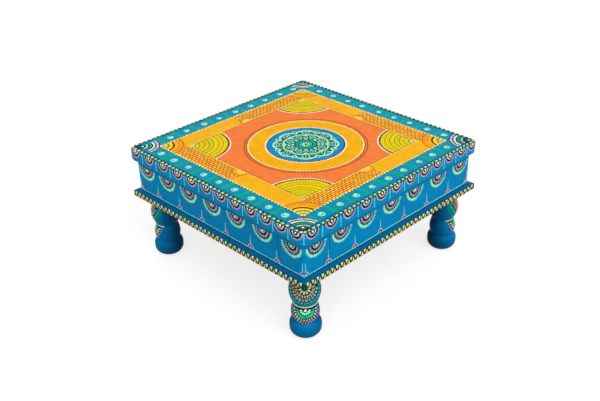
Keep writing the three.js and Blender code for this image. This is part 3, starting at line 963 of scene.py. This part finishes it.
def board_ring(inset, height):
    """One loop round the board, drawn in by an inset and at a height."""
    middle = BOARD_HALF - BOARD_CORNER
    loop = []
    for quarter, (x, y) in enumerate(((1, 1), (-1, 1), (-1, -1), (1, -1))):
        for i in range(CORNER_STEPS + 1):
            angle = math.pi / 2 * (quarter + i / CORNER_STEPS)
            loop.append((*around((middle * x, middle * y), BOARD_CORNER - inset, angle), height))
    return loop


edge_angles = [math.pi / 2 * i / BOARD_EDGE_STEPS for i in range(BOARD_EDGE_STEPS + 1)]
edge_curve = [(BOARD_EDGE * (1 - math.sin(a)), BOARD_EDGE * (1 - math.cos(a))) for a in edge_angles]
board_levels = [(inset, BOARD_BOTTOM + rise) for inset, rise in edge_curve]
board_levels += [(drop, BOARD_TOP - inset) for inset, drop in edge_curve]
board_mesh = skinned("painted_top", [board_ring(*level) for level in board_levels])
shade_by_angle(board_mesh)


def beyond(value, edge, margin=BRUSH_MARGIN):
    """0 within an edge and 1 beyond it, with a narrow brushed margin."""
    return value.ramp(edge - margin, edge + margin, interpolation="SMOOTHSTEP")


def within(value, edge, margin=BRUSH_MARGIN):
    return 1.0 - beyond(value, edge, margin)


def thin_line(value, middle, width):
    """1 on a line of a given width, and 0 on both sides of it."""
    return within(abs(value - middle), width / 2, width * 0.3)


def bands(tree, value, stops):
    """Flat bands of colour by distance: each stop is the distance where it begins, and its colour."""
    reach = stops[-1][0]
    ramp = add_node(tree, "ShaderNodeValToRGB", {0: value.math("DIVIDE", reach * 1.001)})
    ramp.color_ramp.interpolation = "CONSTANT"
    ramp.color_ramp.elements.remove(ramp.color_ramp.elements[-1])
    ramp.color_ramp.elements[0].position = 0.0
    ramp.color_ramp.elements[0].color = stops[0][1]
    for start, colour in stops[1:]:
        ramp.color_ramp.elements.new(start / reach).color = colour
    return ramp.outputs[0]


def top_colour(tree):
    """The painted fields from the border inwards, each laid over the last, and the sides of the board."""
    shake = {"Vector": own_place(tree), "Scale": WANDER_SCALE, "Detail": 1.0}
    shake = separate(tree, add_node(tree, "ShaderNodeTexNoise", shake).outputs["Color"])
    x, y, z = (axis + (push - 0.5) * WANDER for axis, push in zip(coordinates(tree), shake))
    wide, deep = abs(x), abs(y)
    square = wide.max(deep)
    on_x_side = wide > deep
    along = on_x_side * y * x.math("SIGN") - (1.0 - on_x_side) * x * y.math("SIGN")
    from_row = along + (y > x) * FAR_SLIP - NEAR_SLIP
    stripe = from_row.math("PINGPONG", BORDER_PITCH / 2).ramp(*STRIPE_FADE)
    lid_side = mix(tree, beyond(z, BOARD_TOP - 2.0, 0.4), LID_BLUE, EDGE_TEAL)
    bricks = add_node(tree, "ShaderNodeTexBrick", {
        "Vector": add_node(tree, "ShaderNodeCombineXYZ", {0: along, 1: square}).outputs[0],
        "Color1": BRICK_YELLOW, "Color2": BRICK_ORANGE, "Mortar": BRICK_JOINT, "Scale": 1.0,
        "Brick Width": BRICK_LENGTH, "Row Height": BRICK_HEIGHT, "Mortar Size": BRICK_GAP,
        "Mortar Smooth": 0.4,
    }).outputs["Color"]
    from_corner = distance(BAND_OUTER - wide, BAND_OUTER - deep)
    from_sun = distance(along, square - BAND_INNER)
    band = coats(
        tree, BAND_ORANGE,
        (along < BRICKS_END, bricks),
        (within(from_corner, CORNER_ARC_RADIUS), bands(tree, from_corner, CORNER_STOPS)),
        (within(from_sun, SUN_RADIUS), BAND_ORANGE),
        (thin_line(from_sun, SUN_LINE, 1.1), BRICK_JOINT),
    )
    field = within(square, BAND_INNER)
    left_corner = x.max(y) < 0.0
    from_fan = distance(BAND_INNER - wide, BAND_INNER - deep) - left_corner * LEFT_FAN_EXTRA
    radius = distance(x - DISC_MIDDLE[0], y - DISC_MIDDLE[1])
    return coats(
        tree, BORDER_BLUE,
        (stripe, BORDER_GREEN),
        (thin_line(square, LID_LINE, 1.2), EDGE_TEAL),
        (beyond(square, LID_SIDE, 0.8), lid_side),
        (within(square, BAND_OUTER), band),
        (thin_line(square, BAND_OUTER + 1.3, 0.8), LINE_NAVY),
        (field, FIELD_CORAL),
        (field * within(from_fan, FAN_RADIUS - 0.8), bands(tree, from_fan, FAN_STOPS)),
        (thin_line(square, BAND_INNER - 1.0, 0.9), LINE_BROWN),
        (thin_line(radius, RED_RING_RADIUS, 1.5), LINE_RED),
        (within(radius, RING_RADIUS + 2.1), LINE_BROWN),
        (within(radius, RING_RADIUS + 0.8), RING_YELLOW),
        (within(radius, DISC_RADIUS), LINE_NAVY),
        (within(radius, DISC_RADIUS - 1.6), DISC_BLUE),
        (within(radius, LOBE_REACH - 5.0, 1.5), DISC_TEAL),
    )


def under_the_top(tree):
    return (coordinates(tree)[2] < BOARD_BOTTOM + MASK_EASE) * (plan_distances(tree)[1] < BOX_HALF)


top_finish = painted_outside("top_paint", top_colour, "top", under_the_top)
add_piece("painted_top", board_mesh, top_finish, "painted_top", "top_board")

# Lid sides: twelve small half rounds hang from the edge on each side, with dotted cords between them.
# The row was laid out by eye, so it drifts along in the middle of each side.
LID_COUNT, LID_DRIFT, LID_EYE = 12, 10.0, 150.6
LID_PITCH = 2 * BOARD_HALF / LID_COUNT
CORD_DOTS, CORD_PITCH, CORD_INSET = 7, 1.9, 2.5
SHOULDER = BOARD_TOP - BOARD_EDGE


def lid_face(side):
    """The edge of the board, unrolled: across goes round the corners and up goes over the rounded edge."""
    flat = BOARD_HALF - BOARD_CORNER

    def face(across, up):
        past = max(abs(across) - flat, 0.0) / BOARD_CORNER * math.copysign(1.0, across)
        over = min(max(up - SHOULDER, 0.0) / BOARD_EDGE, math.pi / 2)
        inwards = max(up - SHOULDER - BOARD_EDGE * math.pi / 2, 0.0)
        out = Vector((math.sin(past), -math.cos(past), 0))
        reach = BOARD_CORNER - BOARD_EDGE * (1 - math.cos(over)) - inwards
        height = min(up, SHOULDER) + BOARD_EDGE * math.sin(over)
        point = Vector((max(-flat, min(flat, across)), -flat, height)) + out * reach
        normal = out * math.cos(over) + Vector((0, 0, math.sin(over)))
        return quarter_turn(side) @ point, quarter_turn(side) @ normal
    return face


def drifted(across):
    return across + LID_DRIFT * (1 - (across / BOARD_HALF) ** 2)


lid_cone = Cone(flatness=0.1)


def lid_half_round(middle, petals):
    """From the eye outwards: olive and cream touches, black, and a fringe of pink and violet."""
    centre = (middle + shaken(0.5), LID_EYE + shaken(0.3))
    lid_cone.arc_line(centre, 2.0, 3.6, BLACK, steps=6)
    lid_cone.arc_line(centre, 6.7, 2.2, BLACK)
    lid_cone.dab((centre[0], centre[1] - 1.1), 0, (3.0, 2.6, 0.55), WHITE)
    lid_cone.arc_dabs(centre, 4.5, 7, (2.4, 1.6, 0.5), across_tones(CREAM, OLIVE, CREAM))
    lid_cone.arc_dabs(centre, 8.7, 13, (2.0, 1.8, 0.5), petals)


for side in range(len(SIDES)):
    lid_cone.face = lid_face(side)
    for i in range(LID_COUNT):
        lid_half_round(drifted((i - (LID_COUNT - 1) / 2) * LID_PITCH), PETAL_TONES[side % 2])
    for i in range(LID_COUNT):
        across = drifted((i - LID_COUNT / 2) * LID_PITCH) if i else CORD_INSET - BOARD_HALF
        for k in range(CORD_DOTS):
            place = (across, LID_EYE - 1.2 - k * CORD_PITCH)
            lid_cone.dab(place, math.pi / 2, (1.6, 1.9 - 0.08 * k, 0.5), AQUA)
lid_cone.finish("lid_side_cone_paint")

# Lid edge: short drops of cream and yellow lie along the rounded top edge of the board, each after a gold
# touch, with a black touch between the pairs and a dark leaning dash on the border inside them.
DROP_GOLD, DROP_LIME, EDGE_SHADE = paint(192, 172, 86), paint(222, 240, 160), paint(2, 44, 66)
DROP_PITCH, DROP_INSET, DROP_LENGTHS = 6.9, 1.5, (3.7, 3.2)
DROP_UP = SHOULDER + BOARD_EDGE * math.pi / 2 - 0.2
DROP_TONES = (CREAM, DROP_LIME, TRIANGLE_YELLOW, DROP_LIME, TRIANGLE_CREAM)
DROP_LEAN, DASH_LEAN = math.radians(10), math.radians(28)
edge_cone = Cone()
drop_count = round(2 * BOARD_HALF / DROP_PITCH)
for side in range(len(SIDES)):
    edge_cone.face = lid_face(side)
    for i in range(drop_count):
        across = (i + 0.5) * 2 * (BOARD_HALF - DROP_INSET) / drop_count - BOARD_HALF + DROP_INSET
        lean = DROP_LEAN + shaken(0.2)
        drop = (DROP_LENGTHS[side % 2], 2.6, 0.6)
        for shift, rise, slant, size, tone in (
            (0.0, 0.0, lean, drop, hand.choice(DROP_TONES)),
            (-2.4, -0.7, lean, (1.6, 1.8, 0.45), DROP_GOLD),
            (2.8, 0.5, lean, (2.2, 3.4, 0.35), BLACK),
            (1.4, 2.7, DASH_LEAN, (4.4, 1.3, 0.25), EDGE_SHADE),
        ):
            edge_cone.dab((across + shift, DROP_UP + rise), slant, size, tone)
edge_cone.finish("lid_edge_drops")

# Border of the top: pale green discs on the blue, dotted lines at both edges of the orange band,
# quarter rounds on the four outer corners and a half sun in the middle of each side of the band.
DISC_TONE, DISC_RIM, SUN_DOT = paint(190, 248, 186), paint(146, 246, 214), paint(252, 230, 96)
ROW_CREAM, ROW_YELLOW, SEED_BROWN = paint(252, 242, 166), paint(255, 226, 120), paint(210, 176, 150)
ROUND_GREEN, ROUND_GROUND, ROUND_WHITE = paint(16, 196, 152), paint(0, 66, 88), paint(236, 244, 214)
ARC_PINK, ARC_WHITE = paint(232, 170, 204), paint(228, 214, 242)
BORDER_MIDDLE, BORDER_DISCS = 135.4, 9
BORDER_SLIPS = (NEAR_SLIP, NEAR_SLIP, -5.2, -8.6)
OUTER_PITCH, INNER_PITCH = 4.95, 3.97
OUTER_ROW, OUTER_GAPS = BAND_OUTER + 0.3, BAND_OUTER + 1.1
SUN_SHIFT, SEED_PLACE = 0.6, (3.6, -BAND_INNER - 17.6)
FULL = {"start": 0.0, "sweep": 2 * math.pi}
# The left, near, right and back corner's round: its centre, how near its arcs come to the table's middle,
# the angle left open at both ends, and the places of its eye and its dark ground.
ROUNDS = (
    (140.4, 178.2, -0.02, 138.9, 140.9),
    (145.5, 181.8, 0.12, 140.9, 142.0),
    (144.3, 181.4, 0.0, 143.7, 142.4),
    (144.5, 182.0, 0.02, 141.1, 142.0),
)


def pink_and_white(share):
    """Pink and a bluish white turn by turn round the arc of the outer corners."""
    return ARC_PINK if int(share * 12.5) % 2 else ARC_WHITE


# Each row of touches and each line of a corner round: how far inside the outermost arc it lies, and its form.
ROUND_ROWS = (
    (0.0, 3.1, (3.3, 3.2, 0.5), pink_and_white),
    (4.4, 2.9, (3.1, 3.0, 0.5), across_tones(WHITE, ROUND_WHITE, WHITE)),
    (8.7, 2.6, (3.4, 2.1, 0.36), ROUND_GREEN),
    (12.8, 2.6, (1.9, 2.4, 0.5), CREAM),
)
ROUND_LINES = (
    (-2.2, 0.9, 0.3, BLACK), (2.2, 1.0, 0.3, BLACK), (6.4, 1.1, 0.3, BLACK),
    (8.6, 4.0, 0.2, ROSETTE_GREEN), (11.0, 1.1, 0.32, BLACK),
)


def top_face(quarter):
    """The top of the board seen from one side: places are across and away from the viewer."""
    def face(across, away):
        return quarter_turn(quarter) @ Vector((across, away, BOARD_TOP)), Vector((0, 0, 1))
    return face


def quarter_arc(margin):
    return {"start": margin, "sweep": math.pi / 2 - 2 * margin}


def dotted_row(cone, reach, shift, away, pitch, size, tone):
    """A straight row of touches along one side, from end to end of its reach."""
    count = round(2 * reach / pitch)
    for i in range(count):
        cone.dab((shift - reach + 2 * reach * (i + 0.5) / count, -away), 0, size, tone)


border_cone = Cone(flatness=0.12)
for quarter in range(4):
    border_cone.face = top_face(quarter)
    for i in range(BORDER_DISCS):
        across = (i - (BORDER_DISCS - 1) / 2) * BORDER_PITCH + BORDER_SLIPS[quarter] + shaken(1.4)
        away = shaken(0.5) - BORDER_MIDDLE
        border_cone.dab((across, away), 0, (8.9, 8.7, 0.25), DISC_RIM)
        border_cone.dab((across, away), 0, (6.2, 5.8, 0.34), DISC_TONE)
        border_cone.arc_line((across, away + 0.3), 2.2, 0.8, FAN_OLIVE, math.pi * 1.02, steps=8, height=0.42)
        border_cone.dab((across, away + 1.0), 0, (3.4, 2.2, 0.55), WHITE)
    dotted_row(border_cone, BAND_OUTER, 0, OUTER_ROW, OUTER_PITCH, (4.1, 2.4, 0.6), ROW_CREAM)
    dotted_row(border_cone, BAND_OUTER, OUTER_PITCH / 2, OUTER_GAPS, OUTER_PITCH, (1.9, 1.6, 0.35), BLACK)
    dotted_row(border_cone, BAND_INNER, 0, BAND_INNER, INNER_PITCH, (2.9, 1.5, 0.45), ROW_YELLOW)
    border_cone.rings((SUN_SHIFT, -BAND_INNER), (
        (3.4, 4, (1.8, 1.6, 0.5), CREAM),
        (6.2, 7, (1.8, 1.5, 0.45), SUN_DOT),
        (8.6, 6, (1.1, 1.3, 0.3), FAN_OLIVE),
    ))
    border_cone.dab(SEED_PLACE, 0, (4.6, 3.6, 0.4), SEED_BROWN)
    border_cone.rings((-BAND_OUTER, -BAND_OUTER), (
        (14.2, 7, (1.8, 1.7, 0.45), SUN_DOT),
        (7.6, 3, (1.9, 1.8, 0.5), ROW_CREAM),
        (11.2, 6, (1.7, 1.4, 0.3), FAN_OLIVE),
    ), **quarter_arc(0.08))
    centre, apex, margin, eye, ground = ROUNDS[quarter]
    reach = math.sqrt(2) * centre - apex
    arc = quarter_arc(margin)
    for inset, width, height, tone in ROUND_LINES:
        border_cone.arc_line((-centre, -centre), reach - inset, width, tone, height=height, **arc)
    for inset, pitch, size, tone in ROUND_ROWS:
        radius = reach - inset
        count = round(radius * arc["sweep"] / pitch)
        border_cone.arc_dabs((-centre, -centre), radius, count, size, tone, **arc)
    border_cone.dab((-ground, -ground), math.pi / 4, (12.2, 13.8, 0.2), ROUND_GROUND)
    border_cone.arc_line((-eye, -eye), 3.5, 1.4, ROSETTE_GREEN, steps=10, height=0.34, **FULL)
    border_cone.arc_line((-eye, -eye), 2.3, 1.0, BLACK, steps=10, height=0.36, **FULL)
    border_cone.dab((-eye, -eye), math.pi / 4, (3.4, 3.2, 0.6), WHITE)
border_cone.finish("top_border_cone_paint", sides=8)

# Middle of the top: white dots round the fans and rings, dark dashes in the fans, and in the blue disc a
# flower of eight lobes round a smaller eight-lobed flower, a green ring and a lime bud.
LOBES, LOBE_STEPS, SMALL_LOBE_REACH = 8, 12, 28.4
FAN_DASH_PITCH = 2.4
LOBE_LIME, RING_CREAM, RIM_CREAM = paint(192, 255, 182), paint(255, 248, 186), paint(255, 252, 222)
EYE_BLUE, EYE_GREY, GAP_ORANGE = paint(216, 232, 250), paint(226, 226, 226), paint(250, 190, 120)
centre_cone = Cone(flatness=0.14)
for quarter in range(4):
    centre_cone.face = top_face(quarter)
    fan_corner = (-BAND_INNER, -BAND_INNER)
    extra = LEFT_FAN_EXTRA if quarter == 0 else 0.0
    centre_cone.arc_dabs(
        fan_corner, FAN_RADIUS + extra, 22, (2.5, 2.4, 0.55), WHITE, along=True, **quarter_arc(0),
    )
    for band in range(2, len(FAN_TONES)):
        radius = extra + (band + 0.42) * FAN_BAND
        count = round(radius / FAN_DASH_PITCH)
        centre_cone.arc_dabs(
            fan_corner, radius, count, (1.5, 0.6, 0.2), FAN_OLIVE, along=True, **quarter_arc(0.03),
        )
    centre_cone.rings(fan_corner, (
        (3.4, 2, (2.6, 1.5, 0.45), DROP_LIME), (6.6, 4, (2.6, 1.5, 0.45), DROP_LIME),
    ), **quarter_arc(0.1))
centre_cone.face = top_face(0)
centre_cone.rings(DISC_MIDDLE, (
    (RING_RADIUS, 124, (2.4, 2.5, 0.5), RING_CREAM), (DISC_RADIUS + 0.7, 97, (2.3, 2.7, 0.5), RIM_CREAM),
), along=True, **FULL)


def lobed_line(reach, depth, turn, width, tone):
    """A flower outline of eight round lobes about the middle of the disc."""
    places = []
    for i in range(LOBES * LOBE_STEPS):
        angle = 2 * math.pi * i / (LOBES * LOBE_STEPS)
        bow = abs(math.cos(LOBES / 2 * (angle - turn))) ** 0.6
        places.append(around(DISC_MIDDLE, reach - depth * (1 - bow), angle))
    centre_cone.line(places, width, tone, closed=True)


def eyed_ring(radius, angle, tone, reach):
    """A pale dot in a dark ring, with a ring of small pale green touches round it."""
    eye = around(DISC_MIDDLE, radius, angle)
    centre_cone.arc_line(eye, reach * 0.52, reach * 0.3, BLACK, steps=10, **FULL)
    centre_cone.dab(eye, angle, (reach * 0.6, reach * 0.5, 0.55), tone)
    touch = (reach * 0.5, reach * 0.4, 0.45)
    centre_cone.arc_dabs(eye, reach * 0.97, 10, touch, MINT, along=True, **FULL)


lobed_line(LOBE_REACH - 2.5, 8.4, 0.0, 1.2, BLACK)
lobed_line(LOBE_REACH, 7.6, 0.0, 2.6, LOBE_LIME)
lobed_line(SMALL_LOBE_REACH - 2.1, 4.6, math.pi / LOBES, 1.0, BLACK)
lobed_line(SMALL_LOBE_REACH, 4.4, math.pi / LOBES, 2.4, LOBE_LIME)
for i in range(LOBES):
    lobe = 2 * math.pi * i / LOBES
    gap = lobe + math.pi / LOBES
    eyed_ring(32.4, lobe, EYE_BLUE, 4.3)
    eyed_ring(21.9, gap, EYE_GREY, 3.4)
    for radius, angle, heading, size, tone in (
        (38.4, gap - 0.06, gap, (2.4, 2.0, 0.5), AQUA),
        (39.6, gap, gap, (2.4, 2.0, 0.5), GAP_ORANGE),
        (38.4, gap + 0.06, gap, (2.4, 2.0, 0.5), MINT),
        (33.2, gap, gap, (3.4, 1.4, 0.4), AQUA),
        (15.9, lobe, lobe + math.pi / 2, (5.2, 3.3, 0.5), LIME),
        (16.4, gap, gap, (3.6, 2.2, 0.4), MINT),
        (27.4, lobe, lobe, (1.9, 1.6, 0.5), WHITE),
        (36.2, lobe + 0.14, lobe, (1.9, 1.6, 0.5), WHITE),
        (36.2, lobe - 0.14, lobe, (1.9, 1.6, 0.5), WHITE),
        (20.2, lobe - 0.11, lobe, (2.8, 1.2, 0.4), WHITE),
        (21.6, lobe, lobe, (2.8, 1.2, 0.4), MINT),
        (20.2, lobe + 0.11, lobe, (2.8, 1.2, 0.4), WHITE),
    ):
        centre_cone.dab(around(DISC_MIDDLE, radius, angle), heading, size, tone)
for radius, width, tone, steps in ((13.6, 1.0, BLACK, 40), (11.0, 3.9, GREEN, 40), (8.2, 0.8, BLACK, 32)):
    centre_cone.arc_line(DISC_MIDDLE, radius, width, tone, steps=steps, **FULL)
centre_cone.rings(DISC_MIDDLE, (
    (6.7, 15, (2.0, 1.6, 0.4), AQUA), (3.6, 7, (3.3, 2.6, 0.5), LIME),
), **FULL)
centre_cone.dab(DISC_MIDDLE, 0, (1.8, 1.6, 0.5), FAN_OLIVE)
centre_cone.finish("top_centre_cone_paint", sides=8)

for guide in (cone_dab, triangle_dab):
    bpy.data.objects.remove(guide)

bpy.context.scene.view_settings.view_transform = "Standard"
